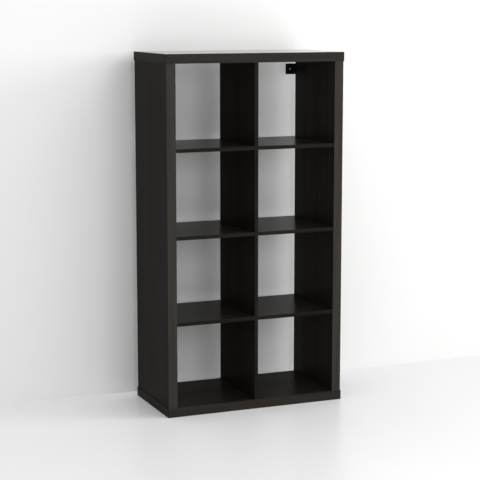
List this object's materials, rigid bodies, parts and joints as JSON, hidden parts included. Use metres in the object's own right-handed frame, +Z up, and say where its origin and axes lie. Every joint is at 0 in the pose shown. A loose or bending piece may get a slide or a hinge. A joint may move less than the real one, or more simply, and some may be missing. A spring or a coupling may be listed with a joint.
{
  "type": "cube storage unit",
  "caption": "Tall open-backed cube storage unit: a thick hollow-panel frame with full-width shelves, short dividers between them and steel wall brackets at the back.",
  "frame": {"origin": "middle of the footprint, on the floor under the bottom panel", "axes": "+Z up, +Y towards the wall behind, +X to the right as seen from the front"},
  "size_m": [0.775, 0.39, 1.46],
  "materials": {
    "panel_foil": "satin black-brown foil on hardboard",
    "board_foil": "satin black-brown foil on chipboard",
    "edge_band": "satin black-brown edging",
    "chipboard": "raw pressed chips",
    "paper_core": "raw brown paper",
    "dowel_wood": "raw beech",
    "screw_steel": "zinc plated",
    "bracket_steel": "black powder coat",
    "bracket_screw_steel": "black zinc"
  },
  "bodies": {
    "root": {"top_panel_outer_skin": "panel_foil", "top_panel_inner_skin": "panel_foil", "top_panel_frame": "chipboard", "top_panel_honeycomb": "paper_core", "top_panel_edge_bands": "edge_band", "bottom_panel_outer_skin": "panel_foil", "bottom_panel_inner_skin": "panel_foil", "bottom_panel_frame": "chipboard", "bottom_panel_honeycomb": "paper_core", "bottom_panel_edge_bands": "edge_band", "left_side_outer_skin": "panel_foil", "left_side_inner_skin": "panel_foil", "left_side_frame": "chipboard", "left_side_honeycomb": "paper_core", "left_side_edge_bands": "edge_band", "right_side_outer_skin": "panel_foil", "right_side_inner_skin": "panel_foil", "right_side_frame": "chipboard", "right_side_honeycomb": "paper_core", "right_side_edge_bands": "edge_band", "lower_shelf": "board_foil", "lower_shelf_bands": "edge_band", "middle_shelf": "board_foil", "middle_shelf_bands": "edge_band", "upper_shelf": "board_foil", "upper_shelf_bands": "edge_band", "bottom_divider": "board_foil", "bottom_divider_bands": "edge_band", "lower_divider": "board_foil", "lower_divider_bands": "edge_band", "upper_divider": "board_foil", "upper_divider_bands": "edge_band", "top_divider": "board_foil", "top_divider_bands": "edge_band", "corner_screws": "screw_steel", "corner_dowels": "dowel_wood", "shelf_dowels": "dowel_wood", "divider_dowels": "dowel_wood", "wall_bracket_left": "bracket_steel", "wall_bracket_right": "bracket_steel", "bracket_screws": "bracket_screw_steel"}
  },
  "joints": []
}
